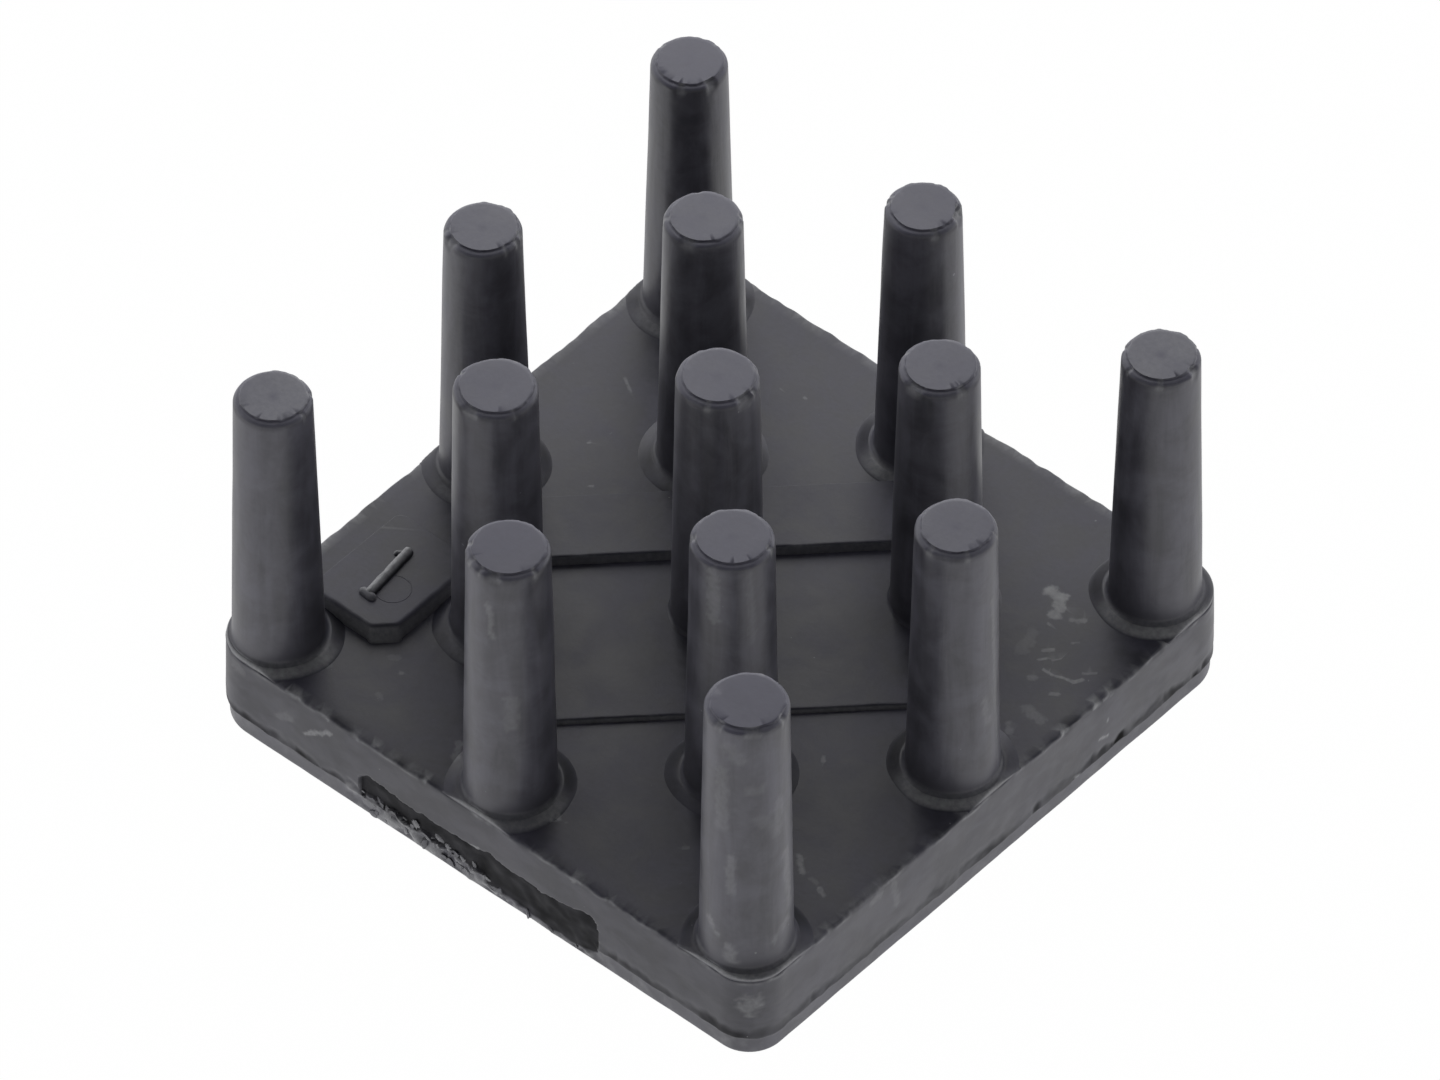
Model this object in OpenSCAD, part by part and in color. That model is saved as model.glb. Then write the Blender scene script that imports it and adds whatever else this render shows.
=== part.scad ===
// Pin fin heat sink for a square chip package, moulded in one piece.
// Millimetres, +Z up. The origin is the middle of the underside, on the plane that seats on the chip.
// The sides lie along X and Y. The corner between -X and -Y is the one beside the cavity mark pad.

/* [Base] */
// Side of the square base at the parting line
base_side = 16.51; // [14.8:0.01:24]
// Thickness of the base, from the underside to the plain floor between the pins
base_thickness = 2.42; // [1.4:0.01:4]
// Radius of the base's upright corners
corner_radius = 1.0; // [0.5:0.05:1.4]
// Height of the parting line above the underside
lip_height = 0.68; // [0.3:0.01:1.1]
// How far the lip below the parting line stands back from the side
lip_inset = 0.085; // [0.02:0.005:0.2]
// How far each side leans in from the parting line to the top edge
side_draft = 0.04; // [0.01:0.005:0.12]
// Worn edge round the top and the underside
edge_break = 0.07; // [0.03:0.01:0.15]

/* [Pins] */
// Overall height, from the underside to the pin tops
total_height = 10.16; // [6:0.01:16]
// Spacing of the pins along a side
pin_pitch = 7.03; // [6:0.01:7.1]
// Radius of a pin at its collar
pin_base_radius = 1.07; // [0.8:0.01:1.2]
// Radius of a pin at its shoulder
pin_top_radius = 0.94; // [0.6:0.01:1.1]
// Depth of the rounded shoulder round a pin's top
shoulder_depth = 0.1; // [0.04:0.01:0.25]
// Radius of the collar disc that a pin stands on
collar_radius = 1.36; // [1.25:0.01:1.5]
// Height of the collar disc above the floor
collar_height = 0.1; // [0.04:0.01:0.15]
// Fillet between a pin and its collar
fillet_radius = 0.26; // [0.1:0.01:0.35]

/* [Raised pads] */
// Height of the middle band above the floor
band_height = 0.17; // [0.1:0.01:0.3]
// Height of the label pad above the middle band
label_rise = 0.28; // [0.1:0.01:0.4]
// How far the band and the label pad reach each way along the diagonal
band_half_width = 4.6; // [3:0.05:4.7]
// Front edge of the band, measured from the middle towards the front corner
band_front = 3.2; // [2:0.05:3.4]
// Front edge of the label pad, measured from the middle towards the back corner
label_front = 1.62; // [1.5:0.01:2.2]
// Depth of the label pad, front to back
label_depth = 1.9; // [1:0.05:2]
// Size of the cavity mark pad along X
mark_pad_x = 2.35; // [1.6:0.05:2.5]
// Size of the cavity mark pad along Y
mark_pad_y = 3.1; // [2:0.05:3.2]
// Corner rounding of the cavity mark pad
mark_pad_round = 0.5; // [0.1:0.05:0.7]

/* [Hidden] */
$fn = 96;
overlap = 0.05;                        // how far stacked solids run into each other
composite = [0.29, 0.29, 0.31];        // dark grey filled resin
half_side = base_side / 2;
top_half = half_side - side_draft - edge_break;      // half the flat top face
top_corner = corner_radius - side_draft - edge_break;
pin_grid = [-1, 0, 1];                 // columns and rows of the square grid, in pitches
pin_cells = [-0.5, 0.5];               // the four pins between them, in pitches
band_top = base_thickness + band_height;
label_top = band_top + label_rise;
mark_pad_right = -0.7 * pin_pitch;     // in the gap between the corner, side and inner pins
mark_pad_front = -0.82 * pin_pitch;

// A square block with rounded upright corners. Its sides lean in by lean over the height.
module rounded_block(half, radius, height, lean) {
    reach = half - radius;
    side_profile = [[-half, 0], [half, 0], [half - lean, height], [lean - half, height]];
    for (turn = [0, 90])
        rotate([0, 0, turn]) rotate([90, 0, 0])
            translate([0, 0, -reach]) linear_extrude(2 * reach) polygon(side_profile);
    for (x = [-reach, reach], y = [-reach, reach])
        translate([x, y, 0]) cylinder(h = height, r1 = radius, r2 = radius - lean);
}

// The part of the base below the parting line, set back from the sides.
module lip() {
    lip_half = half_side - lip_inset;
    lip_corner = corner_radius - lip_inset;
    color(composite) {
        mirror([0, 0, 1]) translate([0, 0, -edge_break])
            rounded_block(lip_half, lip_corner, edge_break, edge_break);
        translate([0, 0, edge_break])
            rounded_block(lip_half, lip_corner, lip_height - edge_break + overlap, 0);
    }
}

// The part of the base above the parting line, up to the floor between the pins.
module slab() {
    wall = base_thickness - edge_break - lip_height;
    color(composite) {
        translate([0, 0, lip_height]) rounded_block(half_side, corner_radius, wall, side_draft);
        translate([0, 0, base_thickness - edge_break])
            rounded_block(half_side - side_draft, corner_radius - side_draft, edge_break, edge_break);
    }
}

// One tapered pin, from the floor to the overall height.
module pin() {
    root = base_thickness + collar_height;
    shoulder = total_height - shoulder_depth;
    color(composite) rotate_extrude() polygon([
        [0, base_thickness - overlap], [pin_base_radius, base_thickness - overlap],
        [pin_base_radius, root], [pin_top_radius, shoulder],
        [pin_top_radius - shoulder_depth, total_height], [0, total_height]
    ]);
}

// The low disc that a pin stands on, and the fillet between the two.
module collar() {
    color(composite) {
        translate([0, 0, base_thickness - overlap])
            cylinder(h = collar_height + overlap, r = collar_radius);
        translate([0, 0, base_thickness + collar_height]) rotate_extrude() difference() {
            translate([pin_base_radius - overlap, -overlap])
                square([fillet_radius + overlap, fillet_radius + overlap]);
            translate([pin_base_radius + fillet_radius, fillet_radius]) circle(fillet_radius);
        }
    }
}

// Whatever is given, at each of the thirteen places: a three by three grid and its four cells.
module at_each_pin() {
    for (places = [pin_grid, pin_cells], column = places, row = places)
        translate([column * pin_pitch, row * pin_pitch, 0]) children();
}

// The outer collars are cut off flush with the base's top edge.
module all_collars() {
    intersection() {
        at_each_pin() collar();
        translate([0, 0, base_thickness - 2 * overlap])
            rounded_block(top_half, top_corner, collar_height + fillet_radius + 4 * overlap, 0);
    }
}

// The low band across the middle and the label pad on it, square to the base's diagonal.
module label_panel() {
    color(composite) rotate([0, 0, 45]) {
        translate([-band_half_width, -band_front, base_thickness - overlap])
            cube([2 * band_half_width, band_front + label_front + overlap, band_height + overlap]);
        translate([-band_half_width, label_front, base_thickness - overlap])
            cube([2 * band_half_width, label_depth, label_top - base_thickness + overlap]);
    }
}

// The small pad near the left corner that carries the mould's cavity mark.
module mark_pad() {
    inner = [mark_pad_x - 2 * mark_pad_round, mark_pad_y - 2 * mark_pad_round];
    color(composite) translate([mark_pad_right - mark_pad_x, mark_pad_front, base_thickness - overlap])
        linear_extrude(label_top - base_thickness + overlap) {
            translate([0, mark_pad_round]) square([mark_pad_x, inner[1]]);
            translate([mark_pad_round, 0]) square([inner[0], mark_pad_y]);
            for (x = [0, inner[0]], y = [0, inner[1]])
                translate([x + mark_pad_round, y + mark_pad_round]) circle(mark_pad_round);
        }
}

module heat_sink() {
    union() {
        lip();
        slab();
        at_each_pin() pin();
        all_collars();
        label_panel();
        mark_pad();
    }
}

heat_sink();
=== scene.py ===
import math
import random

import bmesh
import bpy
import numpy as np
from mathutils import Matrix, Vector, geometry, noise


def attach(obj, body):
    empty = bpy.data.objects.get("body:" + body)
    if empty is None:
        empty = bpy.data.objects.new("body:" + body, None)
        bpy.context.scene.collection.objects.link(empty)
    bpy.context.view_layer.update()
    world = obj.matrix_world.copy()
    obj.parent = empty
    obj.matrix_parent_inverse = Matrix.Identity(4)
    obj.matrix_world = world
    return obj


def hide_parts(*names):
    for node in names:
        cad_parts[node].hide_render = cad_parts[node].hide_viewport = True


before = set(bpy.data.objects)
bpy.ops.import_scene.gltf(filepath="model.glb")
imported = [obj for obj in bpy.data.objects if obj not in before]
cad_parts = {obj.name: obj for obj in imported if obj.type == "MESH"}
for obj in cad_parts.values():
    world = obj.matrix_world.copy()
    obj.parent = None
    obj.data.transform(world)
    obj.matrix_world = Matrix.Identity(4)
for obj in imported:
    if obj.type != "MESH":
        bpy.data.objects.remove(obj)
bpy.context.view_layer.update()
MM = 0.001

# Sizes in millimetres, as in part.scad, except that the parting line and the pads are a little lower here
HALF = 8.255                        # half the base's side at the parting line
CORNERS = [1.0, 1.2, 1.2, 1.2]      # corner radii: front, right, back, left
SPREAD = (0.07, 0.14)               # the moulding stands this much further out to the right and to the back
FLOOR = 2.42                        # the plain floor between the pins
LIP = 0.47                          # the parting line
LIP_INSET = 0.085
DRAFT = 0.04
EDGE = 0.07                         # rounding of the base's edges
TOP = 10.16
PITCH = 7.03
COLLAR = 1.36                       # radius of a pin's collar
ROOT = FLOOR + 0.112                # top of the collar, where the pin's fillet starts
FOOT = 1.07                         # radius of a pin at its foot
FILLET = 0.12
SHOULDER = 0.14                     # height of the rounding at a pin's top
BAND_TOP = FLOOR + 0.13
LABEL_TOP = BAND_TOP + 0.24
PAD_ROUND = 0.3                     # corner radius of the band and the label pad
AHEAD = (0.66, -0.75, 0.0)          # the way that the lighter sides face
# Pins: place on the grid in pitches, and radius at the shoulder
PINS = [(-1, 1, .885), (0, 1, .885), (1, 1, .90), (-.5, .5, .905), (-1, 0, .89), (-1, -1, .90),
        (-.5, -.5, .965), (0, 0, .95), (.5, .5, .925), (1, 0, .935), (.5, -.5, .955), (0, -1, .955),
        (1, -1, .955)]


def grain(x, y, z, size, seed=0.0):
    """Smooth noise from -1 to 1 with features of about size millimetres."""
    return noise.noise(Vector((x / size + seed, y / size - seed, z / size + 7.3 * seed)))


def smooth(low, high, value):
    """A soft step from 0 at low to 1 at high; low may be the larger one."""
    t = min(1.0, max(0.0, (value - low) / (high - low)))
    return t * t * (3 - 2 * t)


def scuffed(points):
    """How light each point is rubbed, from the list of scuffs."""
    light = np.zeros(len(points))
    for start, end, width, strength in SCUFFS:
        start = np.array(start)
        along = np.array(end) - start
        t = np.clip((points - start) @ along / max(1e-9, along @ along), 0, 1)
        gap = np.linalg.norm(points - start - t[:, None] * along, axis=1)
        for i in np.nonzero(gap < width * 1.8)[0]:
            ragged = width * (0.7 * grain(*points[i], 0.16, 31.0) + 0.3 * grain(*points[i], 0.06, 32.0))
            light[i] = max(light[i], strength * smooth(width * 1.25, width * 0.55, gap[i] + ragged))
    return light


def quads(rows, count):
    """The faces between neighbouring rows, each a closed ring of count points."""
    faces = []
    for r in range(rows - 1):
        for i in range(count):
            j = (i + 1) % count
            faces.append((r * count + i, r * count + j, (r + 1) * count + j, (r + 1) * count + i))
    return faces


def build(name, verts, faces, wear_and_painted_light=None, painted_shade=None, angle=50):
    """A mesh piece from points in millimetres, with the wear and painted light, and the painted shade, at
    each point.
    """
    mesh = bpy.data.meshes.new(name)
    mesh.from_pydata([(x * MM, y * MM, z * MM) for x, y, z in verts], [], faces)
    work = bmesh.new()
    work.from_mesh(mesh)
    bmesh.ops.recalc_face_normals(work, faces=work.faces)
    work.to_mesh(mesh)
    work.free()
    wear_and_painted_light = np.maximum(np.array(wear_and_painted_light) if wear_and_painted_light else 0.0, scuffed(np.array(verts)))
    for label, values in (("wear_and_painted_light", wear_and_painted_light), ("painted_shade", painted_shade)):
        if values is not None:
            mesh.attributes.new(label, "FLOAT", "POINT").data.foreach_set("value", values)
    mesh.polygons.foreach_set("use_smooth", [True] * len(mesh.polygons))
    mesh.set_sharp_from_angle(angle=math.radians(angle))
    piece = bpy.data.objects.new(name, mesh)
    bpy.context.scene.collection.objects.link(piece)
    mesh.materials.append(RESIN)
    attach(piece, "root")
    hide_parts("heat_sink")
    return piece


# Scuffs and rubbed spots. Each row gives the start, the end, the half width and how light the scuff is.
# On level surfaces, by height: start and end as x, y
LEVEL_SCUFFS = {
    FLOOR + 0.01: [
        ((5.2, 5.5), (5.5, 5.55), .17, .95), ((5.6, 5.4), (5.8, 5.0), .15, .85),
        ((6.2, 5.15), (6.4, 5.3), .08, .55), ((6.3, 4.0), (6.45, 4.15), .05, .55),
        ((6.65, 4.6), (6.75, 4.7), .04, .5), ((6.4, 3.7), (6.5, 3.85), .04, .6),
        ((6.65, 3.9), (6.75, 4.05), .03, .5), ((6.7, 3.55), (6.95, 3.55), .04, .9),
        ((6.95, 3.55), (7.2, 3.65), .04, .8), ((7.2, 3.65), (7.45, 3.7), .04, .7),
        ((7.45, 3.7), (7.55, 3.9), .05, .7), ((7.45, 4.05), (7.65, 4.25), .04, .5),
        ((6.6, 3.15), (6.7, 3.2), .09, .4), ((7.3, 3.1), (7.45, 3.2), .05, .5),
        ((7.2, 2.35), (7.6, 2.3), .14, .3), ((7.15, 1.75), (7.35, 1.6), .1, .35),
        ((8.1, 1.8), (8.25, 1.65), .06, .4), ((5.75, 4.3), (5.95, 3.65), .16, .18),
        ((5.85, 4.7), (5.9, 4.7), .04, .6), ((4.7, -1.75), (4.8, -1.85), .05, .5),
        ((6.3, -4.4), (6.65, -4.7), .08, .55), ((6.95, -4.75), (7.1, -4.75), .07, .25),
        ((7.3, -4.85), (7.5, -4.95), .06, .5), ((4.2, -5.9), (4.25, -5.85), .05, .3),
        ((-4.65, -5.9), (-4.55, -5.85), .12, .25), ((-4.15, -6.15), (-4.1, -6.1), .04, .5),
        ((-4.1, -6.95), (-3.95, -7.0), .07, .25), ((-3.1, -8.15), (-2.95, -8.05), .06, .8),
        ((-1.7, -6.85), (-1.45, -7.3), .1, .3), ((-5.95, -7.85), (-5.9, -7.8), .04, .6),
        ((-5.75, 2.05), (-5.7, 2.1), .03, .7), ((-4.8, 1.05), (-4.75, 1.1), .04, .7),
        ((-6.45, 4.15), (-6.05, 3.9), .04, .45), ((-2.95, 6.4), (-2.9, 6.4), .04, .6),
        ((-3.55, 6.25), (-3.5, 6.25), .03, .4)],
    FLOOR + 0.08: [
        ((1.0, -7.2), (1.15, -7.2), .12, .3), ((1.4, -7.25), (1.7, -7.1), .06, .9),
        ((1.45, -7.05), (1.65, -7.2), .07, .8), ((-5.75, -7.4), (-5.55, -7.05), .1, .4)],
    LABEL_TOP: [((-7.2, -3.3), (-6.95, -2.95), .05, .7)],
}
# On the left-front side: start and end as x, z
LEFT_SCUFFS = [
    ((-5.75, 2.45), (-5.35, 2.55), .06, .95), ((-4.8, 2.45), (-4.45, 2.3), .04, .7),
    ((-3.8, 2.4), (-3.6, 2.35), .07, .4), ((-0.2, 1.25), (0.1, 1.35), .05, .8),
    ((2.9, 2.3), (3.0, 2.6), .08, .5), ((3.85, 2.35), (4.05, 2.5), .05, .5),
    ((-5.15, 1.4), (-4.4, 1.95), .06, .65), ((-5.95, 1.4), (-5.65, 1.6), .12, .2),
    ((-7.3, 2.15), (-7.15, 2.1), .15, .2)]
# On the front-right side: start and end as y, z
RIGHT_SCUFFS = [
    ((3.45, 2.35), (3.55, 2.35), .07, 1.0), ((3.9, 1.6), (3.9, 1.6), .04, .8),
    ((3.65, 1.2), (3.9, 1.1), .05, .8), ((2.35, 2.4), (2.5, 2.35), .06, .85),
    ((3.8, 2.35), (4.05, 2.3), .04, .6), ((2.8, .6), (2.95, .55), .06, .7),
    ((-3.5, 2.5), (-3.35, 1.45), .1, .2), ((-4.15, 2.15), (-3.9, 2.25), .12, .25)]
# On the front corner: start and end as x, y, z
CORNER_SCUFF = ((7.95, -8.0, 1.55), (8.0, -7.9, 1.75), .26, .42)
# On the pins: the pin, then start and end as degrees round it and z
PIN_SCUFFS = [
    (12, (-76, 9.25), (-70, 8.25), .08, .29), (12, (-46, 6.3), (-47, 5.45), .19, .18),
    (13, (-72, 9.55), (-58, 9.3), .22, .16), (13, (-83, 8.8), (-84, 7.0), .16, .18),
    (13, (-71, 6.1), (-68, 5.0), .12, .30), (13, (-100, 3.85), (-86, 3.45), .11, .40),
    (13, (-71, 3.15), (-67, 2.8), .16, .36), (13, (-46, 8.3), (-31, 8.3), .14, .14),
    (13, (10, 5.85), (17, 4.1), .14, .22), (13, (-2, 7.7), (-6, 6.75), .14, .18),
    (13, (-27, 7.35), (-20, 7.1), .22, .11), (13, (-10, 3.35), (9, 3.65), .14, .22),
    (11, (-76, 10.05), (-73, 8.45), .15, .29), (11, (-75, 9.05), (-73, 8.7), .14, .29),
    (11, (-24, 9.9), (-22, 7.75), .11, .11), (10, (9, 8.35), (22, 2.85), .07, .18),
    (10, (-7, 5.3), (-1, 4.55), .11, .18)]


def on_pin(number, degrees, z, radius=1.0):
    """A place on a pin's side, from the angle round the pin and the height."""
    column, row, _ = PINS[number - 1]
    a = math.radians(degrees)
    return column * PITCH + radius * math.cos(a), row * PITCH + radius * math.sin(a), z


def all_scuffs():
    """Every scuff as start, end, half width and lightness, with its ends as x, y, z."""
    off = 0.035         # inside the left wall for its draft, outside the right one for its spread
    scuffs = [CORNER_SCUFF]
    for z, rows in LEVEL_SCUFFS.items():
        scuffs += [((*start, z), (*end, z), width, light) for start, end, width, light in rows]
    for (x, z), (far_x, far_z), width, light in LEFT_SCUFFS:
        scuffs.append(((x, off - HALF, z), (far_x, off - HALF, far_z), width, light))
    for (y, z), (far_y, far_z), width, light in RIGHT_SCUFFS:
        scuffs.append(((HALF + off, y, z), (HALF + off, far_y, far_z), width, light))
    for number, start, end, width, light in PIN_SCUFFS:
        scuffs.append((on_pin(number, *start), on_pin(number, *end), width, light))
    return scuffs


SCUFFS = all_scuffs()


# Camera
def look(place, azimuth, elevation, roll, lens):
    """The camera: its place in metres, the way it looks in degrees, its focal length in millimetres."""
    data = bpy.data.cameras.new("camera")
    data.lens = lens
    data.sensor_width = 36
    data.clip_start = 0.01
    camera = bpy.data.objects.new("camera", data)
    bpy.context.scene.collection.objects.link(camera)
    az, el = math.radians(azimuth), math.radians(elevation)
    back = Vector((math.sin(az) * math.cos(el), -math.cos(az) * math.cos(el), math.sin(el)))
    right = Vector((math.cos(az), math.sin(az), 0))
    up = back.cross(right)
    turn = Matrix.Rotation(math.radians(roll), 3, "Z")
    axes = Matrix((right, up, back)).transposed() @ turn
    camera.matrix_world = Matrix.Translation(place) @ axes.to_4x4()
    bpy.context.scene.camera = camera


look(Vector((0.18502, -0.21120, 0.30173)), azimuth=41.208, elevation=46.599, roll=0.078, lens=453.1)


# Material
class Nodes:
    """Short names for making and joining shader nodes."""

    def __init__(self, tree):
        self.tree = tree
        tree.nodes.clear()

    def add(self, kind, inputs=None, **settings):
        node = self.tree.nodes.new(kind)
        for key, value in settings.items():
            setattr(node, key, value)
        for key, value in (inputs or {}).items():
            socket = node.inputs[key]
            if isinstance(value, bpy.types.NodeSocket):
                self.tree.links.new(value, socket)
            else:
                socket.default_value = value
        return node

    def math(self, operation, a, b=0.0):
        return self.add("ShaderNodeMath", {0: a, 1: b}, operation=operation).outputs[0]

    def add_up(self, *terms):
        total = terms[0]
        for term in terms[1:]:
            total = self.math("ADD", total, term)
        return total

    def times(self, a, b):
        return self.math("MULTIPLY", a, b)

    def stretch(self, at, scale):
        return self.add("ShaderNodeVectorMath", {0: at, 1: scale}, operation="MULTIPLY").outputs["Vector"]

    def dot(self, a, b):
        return self.add("ShaderNodeVectorMath", {0: a, 1: b}, operation="DOT_PRODUCT").outputs["Value"]

    def noise(self, at, scale, detail=3.0, rough=0.55, distortion=0.0):
        inputs = {"Vector": at, "Scale": scale, "Detail": detail, "Roughness": rough,
                  "Distortion": distortion}
        return self.add("ShaderNodeTexNoise", inputs).outputs["Fac"]

    def ramp(self, value, low, high, to_low=0.0, to_high=1.0):
        inputs = {"Value": value, "From Min": low, "From Max": high, "To Min": to_low, "To Max": to_high}
        return self.add("ShaderNodeMapRange", inputs, interpolation_type="SMOOTHSTEP").outputs[0]

    def mix(self, factor, a, b):
        return self.add("ShaderNodeMix", {0: factor, 6: a, 7: b}, data_type="RGBA").outputs[2]


def resin():
    """The filled resin: dull grey, mottled, with painted shade on the level floors and a painted highlight on
    the pins' tops, paler wear and painted light, and painted shade in black.
    """
    pale, black = (0.38, 0.385, 0.40, 1), (0.012, 0.012, 0.012, 1)
    material = bpy.data.materials.new("filled_resin")
    material.use_nodes = True
    n = Nodes(material.node_tree)
    # where a point is
    place = n.add("ShaderNodeTexCoord").outputs["Object"]
    at = n.stretch(place, (1000, 1000, 1000))                # millimetres
    normal = n.add("ShaderNodeNewGeometry").outputs["Normal"]
    upward = n.math("ABSOLUTE", n.add("ShaderNodeSeparateXYZ", {0: normal}).outputs["Z"])
    upright = n.ramp(upward, 0.35, 0.7, 1.0, 0.0)
    high = n.add("ShaderNodeSeparateXYZ", {0: at}).outputs["Z"]
    on_pins = n.times(upright, n.ramp(high, 2.7, 3.4))
    on_side = n.times(upright, n.ramp(high, 2.7, 2.4))
    on_floor = n.times(n.math("SUBTRACT", 1.0, upright), n.ramp(high, 4.0, 3.0))
    on_top = n.ramp(high, 10.02, 10.12)
    # mottling, with painted shade on the level floors and a painted highlight on the tops
    broad = n.noise(at, 0.22, 3.0, 0.5)
    patch = n.noise(at, 0.9, 4.0, 0.62, 0.4)
    fine = n.noise(at, 5.5, 4.0, 0.6)
    blotch = n.noise(n.stretch(at, (0.9, 0.9, 1.8)), 1.0, 2.0, 0.6, 0.3)
    drag = n.noise(n.stretch(at, (2.1, 2.1, 0.26)), 1.0, 3.0, 0.6, 0.5)
    tone = n.add_up(n.ramp(broad, 0.3, 0.7, -0.06, 0.06), n.ramp(patch, 0.3, 0.72, -0.08, 0.09),
                    n.ramp(fine, 0.3, 0.7, -0.03, 0.03),
                    n.times(on_pins, n.ramp(drag, 0.34, 0.68, -0.14, 0.20)),
                    n.times(on_pins, n.ramp(patch, 0.32, 0.68, -0.16, 0.18)),
                    n.times(on_side, n.ramp(blotch, 0.34, 0.66, -0.24, 0.06)),
                    n.times(on_side, n.ramp(high, 0.50, 0.42, 0.0, 0.30)),
                    # painted shade: the level floors darker; painted highlight: the pins' tops lighter
                    n.times(on_floor, n.ramp(patch, 0.3, 0.7, -0.52, -0.24)),
                    n.times(on_top, 0.32))
    level = n.math("ADD", tone, 1.0)
    blue = n.ramp(upward, 0.3, 0.8, 0.104, 0.119)
    body = n.add("ShaderNodeCombineColor", {0: n.times(level, 0.086), 1: n.times(level, 0.085),
                                            2: n.times(level, blue)}).outputs[0]
    # wear and painted light, dust, and painted shade in black
    worn_and_lit = n.add("ShaderNodeAttribute", attribute_name="wear_and_painted_light").outputs["Fac"]
    painted_shade = n.add("ShaderNodeAttribute", attribute_name="painted_shade").outputs["Fac"]
    ragged = n.ramp(n.noise(at, 9.0, 3.0), 0.25, 0.75)
    worn_and_lit = n.times(worn_and_lit, n.math("ADD", n.times(ragged, 0.4), 0.6))
    specks = n.ramp(n.noise(at, 3.6, 2.0, 0.6), 0.76, 0.79, 0.0, 0.4)
    worn_and_lit = n.math("MAXIMUM", worn_and_lit, n.times(specks, n.math("SUBTRACT", 1.0, on_top)))
    colour = n.mix(worn_and_lit, n.mix(painted_shade, body, black), pale)
    # surface: rougher, and with its reflection dimmed, under the painted shade
    rough = n.math("ADD", n.ramp(patch, 0.3, 0.7, 0.38, 0.48), n.times(painted_shade, 0.35))
    dull = n.math("SUBTRACT", 0.5, n.times(painted_shade, 0.46))
    height = n.add_up(n.times(n.noise(at, 9.0, 2.0), 0.16), n.times(blotch, 0.3),
                      n.times(n.times(drag, on_pins), 0.8))
    bump = n.add("ShaderNodeBump", {"Height": height, "Strength": 0.4, "Distance": 0.00003}).outputs[0]
    shader = n.add("ShaderNodeBsdfPrincipled", {"Base Color": colour, "Roughness": rough, "Normal": bump,
                                                "IOR": 1.5, "Specular IOR Level": dull}).outputs[0]
    n.add("ShaderNodeOutputMaterial", {"Surface": shader})
    return material


RESIN = resin()


# Base
def outline(per_side=250, per_corner=20):
    """Points and outward normals round the rounded square, counterclockwise from the left corner."""
    points = []
    for quarter, radius in enumerate(CORNERS):
        turn = Matrix.Rotation(quarter * math.pi / 2, 2)
        start, end = -HALF + CORNERS[quarter - 1], HALF - radius
        side = []
        for i in range(per_side):
            side.append((Vector((start + (end - start) * i / per_side, -HALF)), Vector((0, -1))))
        for i in range(per_corner):
            a = -math.pi / 2 + math.pi / 2 * i / per_corner
            out = Vector((math.cos(a), math.sin(a)))
            side.append((Vector((end, radius - HALF)) + radius * out, out))
        points += [(turn @ p, turn @ d) for p, d in side]
    return points


def spread(x, y):
    """Move a point of the base's outline as far as the moulding stands out there."""
    reach = HALF - max(CORNERS)
    return tuple(v + far * min(1.0, max(0.0, (v + reach) / (2 * reach)))
                 for v, far in ((x, SPREAD[0]), (y, SPREAD[1])))


LOOP = outline()
# Small nicks along the top edge of the two front sides: side, place along it, half length, depth
CHIPS = [("left", -5.5, .28, .05), ("left", -4.6, .25, .035), ("left", -3.7, .15, .03),
         ("left", -1.6, .12, .04), ("left", 2.9, .14, .04), ("left", 3.95, .12, .03),
         ("right", -5.6, .12, .03), ("right", -3.9, .18, .03), ("right", 2.4, .14, .05),
         ("right", 3.5, .16, .07), ("right", 3.95, .16, .05), ("right", 5.9, .2, .03)]
# Outline of the broken-off gate on the left-front side: x, lower edge, upper edge
SCAR = [(-3.56, .8, .85), (-3.5, .62, 1.22), (-3.3, .5, 1.36), (-3.0, .55, 1.34), (-2.6, .60, 1.28),
        (-2.2, .50, 1.2), (-1.8, .66, 1.24), (-1.2, .54, 1.25), (-.6, .64, 1.28), (0, .50, 1.32),
        (.4, .30, 1.42), (.9, .2, 1.3), (2, .15, 1.28), (2.7, .15, 1.4), (3.2, .22, 1.54),
        (3.44, .26, 1.56), (3.54, .32, 1.46), (3.6, .6, 1.2)]
# Stretches of painted shade in the groove above the parting line: side, start, end, how dark
DASHES = [("left", -6.25, -5.5, .75), ("left", -5.5, -4.75, .95), ("left", -4.7, -4.0, .9),
          ("left", -7.3, -6.5, .35), ("left", 3.9, 4.2, .6), ("left", 4.6, 6.6, .3),
          ("right", -6.3, -6.0, .6), ("right", -5.85, -5.5, .65), ("right", -4.0, -3.5, .45),
          ("right", -3.3, -2.8, .3), ("right", -1.3, -.6, .3), ("right", 1.25, 1.5, .8),
          ("right", 2.6, 3.3, .55), ("right", 3.2, 4.05, .7), ("right", 4.05, 4.4, 1),
          ("right", 5.75, 6.45, .75), ("right", 6.75, 6.95, .95), ("right", 7.1, 7.35, .9)]
BESIDE = 0.3          # a point within this of a front side takes its nicks and dark stretches


def on_front(p):
    """Which front side a point of the outline is on, the place along it, and how far inside it is."""
    return ("left", p.x, p.y + HALF) if p.y + HALF < HALF - p.x else ("right", p.y, HALF - p.x)


def chip_at(p):
    """How deep the top edge is nicked at a point of the outline."""
    which, along, across = on_front(p)
    deepest = 0.0
    for side, place, length, depth in CHIPS:
        if side == which and across < BESIDE:
            gap = abs(along - place) + 0.04 * grain(p.x, p.y, 0, 0.1, 3.0)
            deepest = max(deepest, depth * smooth(length, length * 0.2, gap))
    return deepest


def dash_at(p):
    """How dark the painted shade in the groove above the parting line is at a point of the outline."""
    which, along, across = on_front(p)
    darkest = 0.0
    for side, start, end, dark in DASHES:
        if side == which and across < BESIDE and start - 0.1 < along < end + 0.1:
            ends = smooth(start - 0.1, start + 0.06, along) * smooth(end + 0.1, end - 0.06, along)
            darkest = max(darkest, dark * ends)
    return darkest


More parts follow.
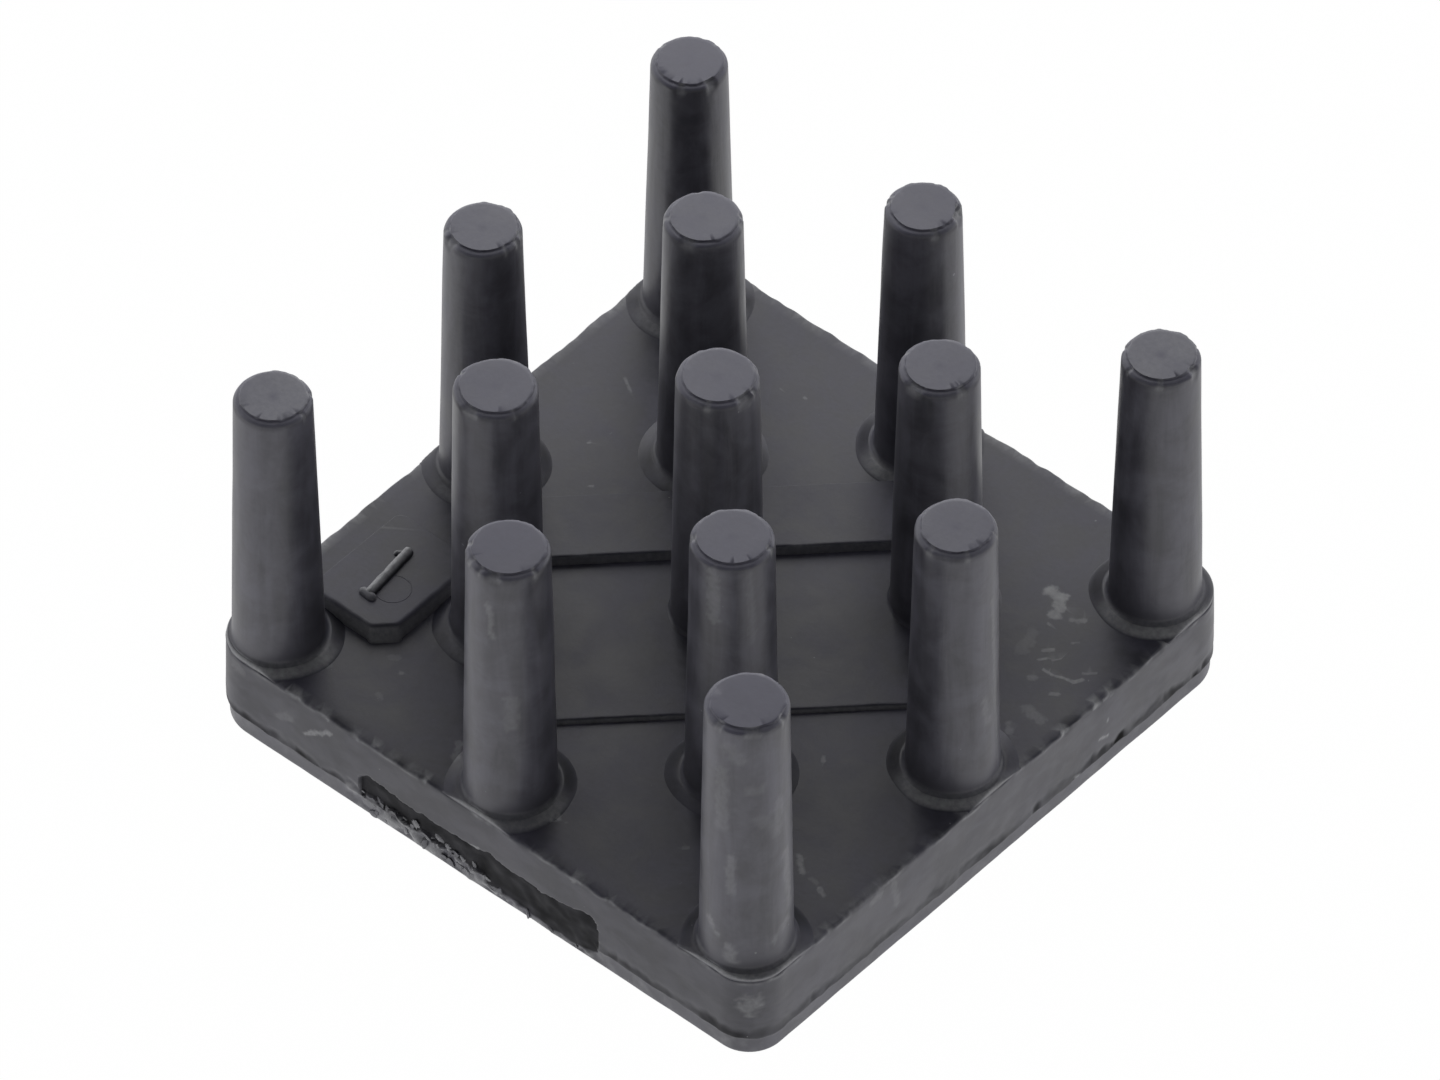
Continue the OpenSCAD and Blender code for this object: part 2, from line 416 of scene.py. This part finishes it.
def scar_at(p, z):
    """How deep in the broken-off gate a point of the left-front side is, from 0 to 1."""
    if p.y > -HALF + 0.2 or not SCAR[0][0] < p.x < SCAR[-1][0]:
        return 0.0
    lower = upper = 0.0
    for (x0, a0, b0), (x1, a1, b1) in zip(SCAR, SCAR[1:]):
        if x0 <= p.x <= x1:
            t = (p.x - x0) / (x1 - x0)
            lower, upper = a0 + (a1 - a0) * t, b0 + (b1 - b0) * t
    upper += 0.05 * grain(p.x, 0, 0, 0.35, 3.1) + 0.06 * grain(p.x, 0, z, 0.14, 5.7)
    ragged = smooth(1.2, 0.2, p.x)
    lower += (0.05 + 0.25 * ragged) * grain(p.x, 5, 0, 0.40, 3.1)
    lower += (0.05 + 0.08 * ragged) * grain(p.x, 5, z, 0.18, 5.7)
    return smooth(upper, upper - 0.07, z) * smooth(lower, lower + 0.06, z)


def rounded_edge(depth, radius):
    """How far a rounded edge stands back at a depth below it."""
    return radius * (1 - math.sqrt(max(0.0, 1 - ((radius - depth) / radius) ** 2)))


def side_point(p, out, z):
    """Inward offset of the side at height z, and its wear and painted light, and its painted shade, there."""
    def here(height, size, seed):
        return grain(p.x, p.y, height, size, seed)

    parting = LIP + 0.035 * here(0, 0.9, 1.0) + 0.03 * here(0, 0.22, 2.0)
    edge = max(0.02, EDGE * (1.15 + 0.9 * here(0, 0.9, 1.5) + 0.5 * here(0, 0.3, 1.7)))
    width = (0.33 if out.x > 0.7 else 0.24) + 0.14 * here(0, 1.1, 4.0) + 0.10 * here(0.5 * z, 0.22, 4.5)
    below = smooth(parting + 0.02, parting - 0.02, z)
    inset = LIP_INSET * smooth(parting + 0.08, parting - 0.02, z)
    inset += DRAFT * min(1.0, max(0.0, z - LIP) / (FLOOR - EDGE - LIP)) * (1 - below)
    if z < EDGE:
        inset += rounded_edge(z, EDGE)
    if z > FLOOR - edge:
        inset += rounded_edge(FLOOR - z, edge)
    # the ragged groove just above the parting line, darkened with painted shade
    dash = dash_at(p) * min(1.0, max(0.3, 0.8 + 0.7 * here(0, 0.3, 6.0)))
    groove = smooth(parting - 0.01, parting + 0.03, z)
    groove *= smooth(parting + width + 0.20, parting + width - 0.12, z)
    faint = max(0.08, 0.38 + 0.50 * here(0, 1.1, 6.5) + 0.2 * here(2 * z, 0.25, 6.7))
    inset += groove * (0.012 + 0.035 * dash)
    # painted shade fading up from the parting line, and a little painted shade on the left-front side above
    # the lip
    shade_above_parting = smooth(0.55, 0.0, z - parting) * (1 - below) * max(0.0, 0.24 + 0.30 * here(0.4 * z, 1.3, 7.0))
    dark = max(groove * max(faint, dash), shade_above_parting, 0.10 * (out.y < -0.7) * (1 - below))
    # the lip below it is paler, in patches
    lightening = max(0.0, here(z, 0.45, 8.0) + 0.5 * here(z, 0.15, 8.5))
    if out.y < -0.5:
        worn_and_lit = below * (0.07 + (0.50 if p.x > 3.7 else 0.22) * lightening)
    else:
        worn_and_lit = below * 0.18 * lightening
    # the broken gate, darkened with painted shade, and the crumbs below and beside it
    scar = scar_at(p, z)
    if scar > 0:
        rough = here(z, 0.5, 11.0) + 0.6 * here(z, 0.16, 12.0)
        inset = inset * (1 - scar) + scar * (0.095 + 0.03 * rough)
        dark = dark * (1 - scar) + scar * min(1.0, 0.78 + 0.16 * grain(p.x, 0, z, 0.35, 13.0))
        worn_and_lit *= 1 - scar
    elif z < 0.95 and -4.0 < p.x < 3.9 and out.y < -0.9:
        crumb = smooth(3.9, 3.2, p.x) * smooth(-4.1, -3.8, p.x)
        crumb *= smooth(0.95, 0.80, z) if p.x < -3.5 or p.x > 0.5 else 1.0
        flake = here(z, 0.34, 18.0) + 0.4 * here(z, 0.13, 19.0)
        worn_and_lit = max(worn_and_lit, crumb * min(0.8, max(0.0, 0.26 + 1.2 * flake)))
        inset -= crumb * 0.08 * flake * smooth(0.02, 0.12, z)
        dark *= 1 - crumb
    # nicks along the top edge
    chip = chip_at(p) * smooth(FLOOR - 0.20, FLOOR - 0.03, z)
    if chip > 0:
        inset += chip * (0.8 + 0.5 * here(z, 0.12, 14.0))
        worn_and_lit = max(worn_and_lit, min(0.95, chip * 17))
    # along the rounding of the top edge: pale worn patches, and painted light that lifts the shade there
    top = smooth(FLOOR - 0.16, FLOOR - 0.06, z)
    worn_and_lit = max(worn_and_lit, top * max(0.0, 0.14 + 0.55 * here(0, 0.5, 15.0) + 0.3 * here(z, 0.12, 15.5)))
    inset += top * 0.03 * here(0, 0.35, 15.7)
    inset += 0.014 * here(z, 1.3, 16.0) + 0.004 * here(z, 0.4, 16.5)
    return inset, worn_and_lit, dark


def side_heights():
    """Heights of the rows of points up the side, close together at the edges and the parting line."""
    rows = [0, .01, .03, .055]
    z = 0.08
    while z < FLOOR - 0.22:
        rows.append(z)
        z += 0.035 if z < 1.6 else 0.08
    return rows + [FLOOR - depth for depth in (.18, .14, .10, .07, .05, .035, .02, .008, 0)]


def inner_points(step):
    """A grid over a level face of the base, a little inside its rounded outline."""
    points = []
    reach = HALF - 0.35
    radius = max(CORNERS)
    steps = int(2 * reach / step)
    for i in range(steps + 1):
        for j in range(steps + 1):
            x, y = -reach + 2 * reach * i / steps, -reach + 2 * reach * j / steps
            if math.hypot(max(0, abs(x) - HALF + radius), max(0, abs(y) - HALF + radius)) < radius - 0.3:
                points.append(Vector(spread(x, y)))
    return points


def scuff_points(step=0.035):
    """A fine grid round each scuff on the floor, so that its ragged edge shows."""
    points = []
    for z, rows in LEVEL_SCUFFS.items():
        if z > FLOOR + 0.1:
            continue
        for start, end, width, _ in rows:
            start, along = Vector(start), Vector(end) - Vector(start)
            side = along.normalized()
            across = Vector((-side.y, side.x))
            for i in range(int((along.length + 3 * width) / step) + 1):
                for j in range(int(3 * width / step) + 1):
                    q = start + side * (i * step - 1.5 * width) + across * (j * step - 1.5 * width)
                    if max(abs(q.x), abs(q.y)) < HALF - 0.30:
                        points.append(q)
    return points


def base():
    heights = side_heights()
    verts, wear_and_painted_light, painted_shade = [], [], []
    count = len(LOOP)
    for z in heights:
        for p, out in LOOP:
            inset, worn_and_lit, dark = side_point(p, out, z)
            q = p - out * inset
            drop = chip_at(p) * 0.25 if z > FLOOR - 0.03 else 0.0
            verts.append((*spread(q.x, q.y), z - drop))
            wear_and_painted_light.append(worn_and_lit)
            painted_shade.append(dark)
    faces = quads(len(heights), count)
    edges = [(i, (i + 1) % count) for i in range(count)]
    top_row = (len(heights) - 1) * count
    top_face = (FLOOR, top_row, inner_points(0.3) + scuff_points())
    underside = (0.0, 0, inner_points(1.2))
    for level, first, inner in (top_face, underside):
        rim = [Vector(verts[first + i][:2]) for i in range(count)]
        points, _, tris, original, _, _ = geometry.delaunay_2d_cdt(rim + inner, edges, [], 1, 1e-7)
        index = []
        for k, point in enumerate(points):
            known = [o for o in original[k] if o < count]
            if known:
                index.append(first + known[0])
            else:
                index.append(len(verts))
                lift = 0.008 * grain(point.x, point.y, 0, 2.2, 17.0) if level else 0.0
                verts.append((point.x, point.y, level + lift))
                wear_and_painted_light.append(0.0)
                painted_shade.append(0.0)
        faces += [tuple(index[v] for v in tri) for tri in tris]
    return build("base", verts, faces, wear_and_painted_light, painted_shade)


def within(x, y, inset):
    """The nearest point that is still inside the base's outline, by the inset."""
    low = -HALF + inset
    high_x, high_y = HALF + SPREAD[0] - inset, HALF + SPREAD[1] - inset
    corner = {(1, 0): 0, (1, 1): 1, (0, 1): 2, (0, 0): 3}[(int(x > 0), int(y > 0))]
    radius = CORNERS[corner] - inset
    cx, cy = max(low + radius, min(high_x - radius, x)), max(low + radius, min(high_y - radius, y))
    far = math.hypot(x - cx, y - cy)
    if far <= radius:
        return x, y
    return cx + (x - cx) * radius / far, cy + (y - cy) * radius / far


# Pins
# Larger chips on the rim of some pins: pin, angle, half width in radians, depth
CHIPPED = [(2, 0.55, .35, .10), (3, 0.2, .2, .05), (5, -1.9, .3, .05), (8, -0.1, .3, .07),
           (9, -1.6, .35, .05), (4, -1.3, .3, .04), (12, -1.2, .25, .06), (7, -1.5, .3, .04),
           (13, -0.7, .3, .04), (1, -0.2, .2, .05)]
# Painted light on the tops of the pins and on the front of their collars
PAINTED_TOP_LIGHT = {2: 0.08, 3: 0.32, 4: 0.12, 5: 0.15, 6: 0.32, 7: 0.10, 8: 0.08, 9: 0.12, 10: 0.12, 11: 0.08}
PAINTED_COLLAR_LIGHT = {3: 1.0, 6: 1.0, 10: 0.9, 12: 0.9, 13: 0.8, 2: 0.8, 1: 0.8, 8: 0.15, 9: 0.15, 11: 0.15}
# Rings of a pin: radius and height, and for those that the base's outline cuts, how far inside it they stay
COLLAR_RINGS = [(COLLAR + 0.20, FLOOR - 0.12, 0.07), (COLLAR + 0.18, FLOOR - 0.02, 0.05),
                (COLLAR + 0.12, FLOOR + 0.006, 0.045), (COLLAR + 0.08, FLOOR + 0.024, 0.045),
                (COLLAR + 0.02, FLOOR + 0.048, 0.05), (COLLAR - 0.05, FLOOR + 0.078, 0.06),
                (COLLAR - 0.11, FLOOR + 0.100, 0.075), (COLLAR - 0.16, ROOT, 0.09)]
FILLET_RINGS = [(FOOT + FILLET * (1 - math.sin(a)), ROOT + FILLET * (1 - math.cos(a)), 0.10)
                for a in (math.pi / 12 * i for i in range(7))]
# The stepped top: how far inside the shoulder and how far below the top
STEPS = ((0.006, 0.115), (0.018, 0.092), (0.036, 0.074), (0.056, 0.060), (0.076, 0.052), (0.094, 0.048),
         (0.106, 0.044), (0.114, 0.036), (0.120, 0.024), (0.126, 0.010), (0.138, 0.002), (0.17, 0.0))


def shaft_rings(top_radius, steps=70):
    """The tapered shaft, from the fillet to the shoulder."""
    start, end = ROOT + FILLET, TOP - SHOULDER
    rings = []
    for i in range(1, steps + 1):
        z = start + (end - 0.01 - start) * i / steps
        rings.append((FOOT + (top_radius - FOOT) * (z - ROOT) / (end - ROOT), z, 0.0))
    return rings


def pin(number, column, row, top_radius, around=120):
    cx, cy = column * PITCH, row * PITCH
    skirt = len(COLLAR_RINGS)
    cut_rings = skirt + len(FILLET_RINGS)
    rings = COLLAR_RINGS + FILLET_RINGS + shaft_rings(top_radius)
    body = len(rings)
    rings += [(top_radius - inset, TOP - drop, 0.0) for inset, drop in STEPS]
    rings += [(top_radius * part, TOP, 0.0) for part in (0.6, 0.4, 0.2)]
    lightening = PAINTED_COLLAR_LIGHT.get(number, 0.35)
    chips = [(angle, width, depth) for which, angle, width, depth in CHIPPED if which == number]
    dice = random.Random(number * 31 + 5)
    for _ in range(4):
        chips.append((dice.uniform(-math.pi, math.pi), dice.uniform(0.06, 0.16), dice.uniform(0.01, 0.03)))
    verts, wear_and_painted_light, painted_shade = [], [], []
    for k, (radius, z, inset) in enumerate(rings):
        for i in range(around):
            a = 2 * math.pi * i / around
            x, y = math.cos(a), math.sin(a)
            ahead = x * AHEAD[0] + y * AHEAD[1]
            worn_and_lit, dark, lift, r = 0.0, 0.0, 0.0, radius

            def near(height, size, seed):
                return grain(cx + x, cy + y, height, size, number + seed)

            if z > ROOT + FILLET:
                r += 0.010 * near(z * 0.5, 1.2, 0)
                r += 0.005 * grain(cx + 2 * x, cy + 2 * y, z * 0.3, 0.5, number)
            rim = smooth(TOP - SHOULDER - 0.16, TOP - SHOULDER, z) * (radius > top_radius - 0.16)
            if rim > 0:
                outer = radius > top_radius - 0.10
                if k >= body:
                    uneven = near(0, 0.55, 40)
                    inner = smooth(top_radius - 0.08, top_radius - 0.11, radius)
                    r -= 0.022 * (uneven + 0.3) * (1 - inner)
                    r += inner * (0.05 * y - 0.01 * x + 0.045 * near(0, 0.45, 44) + 0.022 * near(0, 0.14, 45))
                    worn_and_lit = 0.20 * (0.7 + 0.7 * uneven) * outer
                for angle, width, depth in chips:
                    gap = abs((a - angle + math.pi) % (2 * math.pi) - math.pi)
                    hit = rim * smooth(width, width * 0.3, gap + 0.25 * width * grain(x, y, z, 0.1, number))
                    r -= depth * hit * (outer or depth > 0.035)
                    lift -= 0.5 * depth * hit * outer
                    worn_and_lit = max(worn_and_lit, 0.5 * hit)
            # painted light on the top, in patches
            if z > TOP - 0.012:
                patchy = grain(cx + radius * x, cy + radius * y, 0, 0.8, number + 70)
                worn_and_lit = max(worn_and_lit, PAINTED_TOP_LIGHT.get(number, 0.02) * (1 + 0.5 * patchy))
            # the collar: painted light on its front side, painted shade on its inner side away from the front
            if k < skirt:
                r += 0.07 * near(0, 0.7, 60)
                worn_and_lit = lightening * (0.85 + 0.5 * near(0, 0.6, 50)) * smooth(1.5, 4, k) * smooth(0.1, 0.75, ahead)
                inward = smooth(0.3, -0.5, (x * cx + y * cy) / PITCH)
                dark = 0.5 * smooth(0.55, -0.1, ahead) * inward * smooth(1.0, 4, k)
            elif k < cut_rings:
                worn_and_lit = lightening * 0.5 * smooth(0.1, 0.75, ahead) * smooth(cut_rings, skirt, k)
            px, py = wide = cx + r * x, cy + r * y
            if k < cut_rings:
                px, py = within(*wide, inset)
                cut = smooth(0.02, 0.12, math.hypot(px - wide[0], py - wide[1]))
                # painted light where the base's outline cuts into the collar
                worn_and_lit = max(worn_and_lit, 0.75 * cut * (2 < k < cut_rings - 1))
            verts.append((px, py, z + lift))
            wear_and_painted_light.append(max(0.0, worn_and_lit))
            painted_shade.append(dark)
    faces = quads(len(rings), around)
    faces.append(tuple(range(around))[::-1])
    last = (len(rings) - 1) * around
    verts.append((cx, cy, TOP))
    wear_and_painted_light.append(0.0)
    painted_shade.append(0.0)
    for i in range(around):
        faces.append((last + i, last + (i + 1) % around, len(verts) - 1))
    return build("pin_%02d" % number, verts, faces, wear_and_painted_light, painted_shade, 60)


# Raised pads
def pad(name, path, low, high, flare=0.04, soft=0.05, seed=0.0, tip=0.0):
    """A low pad with a closed outline, a wall that flares a little at its foot and a soft top edge.

    Its front corner is drawn out by tip, and its rear edges are kept crisp.
    """
    count = len(path)
    outs = []
    for i in range(count):
        before, after = path[i - 1], path[(i + 1) % count]
        along = (after - before).normalized()
        outs.append(Vector((along.y, -along.x)))
    tall = high - low
    rows = [(-flare, low - 0.04), (-flare, low + 0.004), (-flare * 0.75, low + 0.25 * tall),
            (-flare * 0.3, low + 0.55 * tall), (0, high - soft)]
    for a in (0.4, 0.8, 1.2, math.pi / 2):
        rows.append((soft * (1 - math.cos(a)), high - soft + soft * math.sin(a)))
    rows.append((soft + 0.04, high))
    verts, wear_and_painted_light = [], []
    for inset, z in rows:
        for p, out in zip(path, outs):
            forward = out.dot(Vector((math.sqrt(0.5), -math.sqrt(0.5))))
            rear = 0.15 if forward < -0.5 else 1.0
            wide = inset * rear if inset > 0 else inset
            if tip and inset < 0:
                wide *= 1 + tip / flare * smooth(0.8, 1.0, forward)
            wander = 0.012 * grain(p.x, p.y, z, 0.5, seed) + 0.006 * grain(p.x, p.y, z, 0.15, seed)
            q = p - out * (wide + wander)
            verts.append((q.x, q.y, high - (high - z) * rear if z > high - soft else z))
            # painted light on the wall; the top edge, but for the rear, is paler in patches
            wall = smooth(low - 0.02, low, z) * smooth(high - 0.2 * soft, high - soft, z)
            rim = smooth(high - soft, high - 0.3 * soft, z) * (inset <= soft) * (rear == 1)
            wear_and_painted_light.append(0.55 * wall + 0.30 * rim * max(0.0, grain(p.x, p.y, 0, 0.5, seed + 1) + 0.2))
    faces = quads(len(rows), count)
    first = (len(rows) - 1) * count
    faces.append(tuple(first + i for i in range(count)))
    faces.append(tuple(reversed(range(count))))
    piece = build(name, verts, faces, wear_and_painted_light)
    work = bmesh.new()
    work.from_mesh(piece.data)
    bmesh.ops.triangulate(work, faces=[f for f in work.faces if len(f.verts) > 4])
    work.to_mesh(piece.data)
    work.free()


def fill_path(corners, step=0.08):
    """Points every step millimetres along a closed chain of corners."""
    path = []
    for a, b in zip(corners, corners[1:] + corners[:1]):
        a, b = Vector(a), Vector(b)
        count = max(1, int((b - a).length / step))
        path += [a + (b - a) * i / count for i in range(count)]
    return path


def diagonal(u, v):
    """From places on the base's diagonals, u to the right corner and v to the back one, to x, y."""
    return ((u - v) / math.sqrt(2), (u + v) / math.sqrt(2))


def rounded(corners, radius, steps=8):
    """The corners of a closed chain, each rounded."""
    chain = []
    for i, here in enumerate(corners):
        here = Vector(here)
        before = (Vector(corners[i - 1]) - here).normalized()
        after = (Vector(corners[(i + 1) % len(corners)]) - here).normalized()
        half = math.acos(max(-1, min(1, before.dot(after)))) / 2
        reach = radius / math.tan(half)
        centre = here + (before + after).normalized() * radius / math.sin(half)
        start, end = here + before * reach - centre, here + after * reach - centre
        for k in range(steps + 1):
            t = k / steps
            chain.append(tuple(centre + (start * (1 - t) + end * t).normalized() * radius))
    return chain


def rectangle(half, front, back):
    """The path of a rounded pad across the base: its half length, and its edges along the other diagonal."""
    corners = [diagonal(-half, front), diagonal(half, front), diagonal(half, back), diagonal(-half, back)]
    return fill_path(rounded(corners, PAD_ROUND, 5))


def mark_outline():
    """The path of the mark pad: an oblong with one corner cut off."""
    right, front = -0.7 * PITCH, -0.82 * PITCH
    wide, deep, cut = 2.35, 3.1, 0.46
    corners = [(right - wide, front), (right - cut, front), (right, front + cut), (right, front + deep),
               (right - wide, front + deep)]
    return fill_path(rounded(corners, 0.22, 4))


base()
for number, (column, row, radius) in enumerate(PINS, 1):
    pin(number, column, row, radius)
pad("band", rectangle(4.6, -3.2, 1.67), FLOOR, BAND_TOP, flare=0.03, soft=0.05, seed=21.0)
pad("label_pad", rectangle(4.6, 1.62, 3.52), BAND_TOP - 0.02, LABEL_TOP, flare=0.04, soft=0.06, seed=22.0)
pad("mark_pad", mark_outline(), FLOOR, LABEL_TOP, flare=0.08, soft=0.10, seed=23.0, tip=0.10)


# The mould's cavity mark
def ridge(name, a, b, width, height, shine, sides=14):
    """A raised stroke on the mark pad, with a round top and round ends."""
    level = LABEL_TOP - 0.01
    a, b = Vector((*a, level)), Vector((*b, level))
    along = (b - a).normalized()
    across = Vector((-along.y, along.x, 0))
    up = Vector((0, 0, 1))
    ends = [math.pi / 8 * i for i in range(5)]
    count = max(2, int((b - a).length / 0.06))
    rings = [(a - along * width * math.cos(t), math.sin(t)) for t in ends]
    rings += [(a + (b - a) * i / count, 1.0) for i in range(1, count)]
    rings += [(b + along * width * math.cos(t), math.sin(t)) for t in reversed(ends)]
    verts, wear_and_painted_light, painted_shade = [], [], []
    for middle, size in rings:
        size = max(size, 0.02)
        for k in range(sides):
            t = 2 * math.pi * k / sides
            wobble = size * (1 + 0.10 * grain(middle.x + 3 * math.cos(t), middle.y, middle.z, 0.12, 41.0))
            q = middle + across * width * wobble * math.cos(t) + up * height * wobble * math.sin(t)
            verts.append(tuple(q))
            out = across * math.cos(t) + up * math.sin(t)
            # painted highlight on the side facing up and to the left, painted shade on the side away from it
            toward = out.dot(Vector((-0.72, 0.30, 0.62)))
            wear_and_painted_light.append(shine * smooth(-0.25, 0.35, toward + 0.2 * grain(*q, 0.15, 42.0)))
            painted_shade.append(0.9 * smooth(-0.15, -0.45, toward))
    faces = quads(len(rings), sides)
    faces.append(tuple(range(sides))[::-1])
    faces.append(tuple((len(rings) - 1) * sides + k for k in range(sides)))
    build(name, verts, faces, wear_and_painted_light, painted_shade)


ridge("mark_stem", (-6.08, -4.98), (-6.27, -3.50), width=0.13, height=0.17, shine=1.0)
ridge("mark_foot", (-6.22, -5.05), (-5.96, -5.07), width=0.12, height=0.13, shine=0.5)
ridge("mark_flag", (-6.27, -3.50), (-6.44, -3.68), width=0.075, height=0.10, shine=0.7)


def ring(name, cx, cy, radius, size, level, around=64, sides=10):
    """The thin raised circle round the mould's insert."""
    verts, faces = [], []
    for i in range(around):
        a = 2 * math.pi * i / around
        for k in range(sides):
            t = 2 * math.pi * k / sides
            r = radius + size * math.cos(t)
            verts.append((cx + r * math.cos(a), cy + r * math.sin(a), level + 0.7 * size * math.sin(t)))
    for i in range(around):
        for k in range(sides):
            j, m = (i + 1) % around, (k + 1) % sides
            faces.append((i * sides + k, j * sides + k, j * sides + m, i * sides + m))
    build(name, verts, faces)


ring("mark_insert", -5.78, -4.55, radius=0.42, size=0.018, level=LABEL_TOP - 0.006)


# Crumbs left along the lower edge of the broken gate; the larger ones: x, height, size, how light
LUMPS = [(-3.78, .68, .19, .40), (-3.66, .95, .13, .30), (-2.97, .62, .15, .10), (-2.72, .55, .13, .16),
         (-2.45, .60, .10, .60), (-2.22, .55, .09, .50), (-1.85, .68, .15, .38), (-1.15, .72, .13, .40),
         (-.92, .62, .12, .50), (-.45, .55, .10, .50), (.30, .40, .12, .42)]


def crumbs(many=44):
    dice = random.Random(12)
    verts, faces, wear_and_painted_light = [], [], []
    ball = bmesh.new()
    bmesh.ops.create_icosphere(ball, subdivisions=2, radius=1.0)
    shape = [v.co.copy() for v in ball.verts]
    tris = [[v.index for v in f.verts] for f in ball.faces]
    ball.free()

    def lump(place, size, turn, stretch, light, seed):
        first = len(verts)
        for co in shape:
            bumpy = 1 + 0.55 * grain(co.x + seed, co.y, co.z, 0.8, 51.0)
            bumpy += 0.2 * grain(co.x + seed, co.y, co.z, 0.35, 52.0)
            q = place + turn @ (stretch @ co) * size * bumpy
            q.z = max(0.015, q.z)
            wall = -HALF + 0.06 + 0.02 * grain(q.x, 0, q.z, 0.1, 53.0)
            verts.append((q.x, max(q.y, wall), q.z))
            wear_and_painted_light.append(light)
        faces.extend(tuple(first + k for k in tri) for tri in tris)

    for i in range(many):
        x = -3.9 + 7.3 * (i + dice.random()) / many
        if x > 0.9 and dice.random() < 0.7:
            continue
        big = smooth(1.5, -0.5, x)
        size = dice.uniform(0.05, 0.09 + 0.09 * big)
        z = 0.10 + dice.random() ** 1.3 * (0.10 + 0.52 * big) + (0.3 if x < -3.5 else 0.0)
        place = Vector((x, -HALF + LIP_INSET + 0.02 - 0.04 * dice.random(), max(size * 0.8, z)))
        angle = dice.uniform(0, 6.28)
        axis = Vector((dice.uniform(-1, 1), dice.uniform(-1, 1), dice.uniform(0.2, 1))).normalized()
        stretch = Matrix.Diagonal((dice.uniform(0.9, 1.9), 0.6, dice.uniform(0.5, 1.0)))
        light = dice.choice((0.05, 0.15, 0.3, 0.45, 0.55))
        lump(place, size, Matrix.Rotation(angle, 3, axis), stretch, light, i)
    for i, (x, z, size, light) in enumerate(LUMPS):
        turn = Matrix.Rotation(dice.uniform(0, 6.28), 3, Vector((0.3, 1, 0.2)).normalized())
        lump(Vector((x, -HALF + 0.13, z)), size, turn, Matrix.Diagonal((1.2, 0.6, 1.0)), light, 60 + i)
    build("gate_crumbs", verts, faces, wear_and_painted_light, angle=25)


crumbs()


# Floor and light
def stage():
    """The floor: white to the eye, and a pale light from below that falls off towards the camera."""
    mesh = bpy.data.meshes.new("ground")
    mesh.from_pydata([(-3, -3, 0), (3, -3, 0), (3, 3, 0), (-3, 3, 0)], [], [(0, 1, 2, 3)])
    ground = bpy.data.objects.new("ground", mesh)
    bpy.context.scene.collection.objects.link(ground)
    material = bpy.data.materials.new("ground")
    material.use_nodes = True
    n = Nodes(material.node_tree)
    path = n.add("ShaderNodeLightPath").outputs
    mirrored = n.math("MAXIMUM", path["Is Glossy Ray"], path["Is Transmission Ray"])
    seen = n.math("MAXIMUM", path["Is Camera Ray"], mirrored)
    plain = n.add("ShaderNodeBsdfDiffuse", {"Color": (0.9, 0.9, 0.9, 1)}).outputs[0]
    white = n.add("ShaderNodeEmission", {"Color": (1, 1, 1, 1), "Strength": 1.0}).outputs[0]
    place = n.add("ShaderNodeTexCoord").outputs["Object"]
    lit = n.ramp(n.dot(place, AHEAD), -0.005, 0.022, 0.90, 0.72)
    share = n.math("ADD", lit, n.times(seen, n.math("SUBTRACT", 0.995, lit)))
    surface = n.add("ShaderNodeMixShader", {0: share, 1: plain, 2: white}).outputs[0]
    n.add("ShaderNodeOutputMaterial", {"Surface": surface})
    mesh.materials.append(material)


def sky():
    """The world: white to the eye, and a light that is strongest from behind and low down."""
    world = bpy.data.worlds.new("world")
    bpy.context.scene.world = world
    world.use_nodes = True
    n = Nodes(world.node_tree)
    path = n.add("ShaderNodeLightPath").outputs
    seen = n.math("MAXIMUM", path["Is Camera Ray"], path["Is Transmission Ray"])
    way = n.add("ShaderNodeTexCoord").outputs["Generated"]
    rise = n.add("ShaderNodeSeparateXYZ", {0: way}).outputs["Z"]
    light = n.times(n.ramp(n.dot(way, AHEAD), -0.45, 0.30, 1.5, 0.17), n.ramp(rise, 0.38, 0.80, 1.0, 0.19))
    strength = n.math("ADD", n.times(seen, n.math("SUBTRACT", 1.0, light)), light)
    background = n.add("ShaderNodeBackground", {"Color": (1, 1, 1, 1), "Strength": strength}).outputs[0]
    n.add("ShaderNodeOutputWorld", {"Surface": background})


def lamp(name, place, target, size, watts):
    data = bpy.data.lights.new(name, "AREA")
    data.shape = "SQUARE"
    data.size = size
    data.energy = watts
    light = bpy.data.objects.new(name, data)
    light.location = place
    light.rotation_euler = (Vector(target) - Vector(place)).to_track_quat("-Z", "Y").to_euler()
    bpy.context.scene.collection.objects.link(light)


stage()
sky()
lamp("rear_lamp", (-0.026, 0.030, 0.036), target=(0, 0, 0.005), size=0.03, watts=0.0046)
bpy.context.scene.view_settings.view_transform = "Standard"
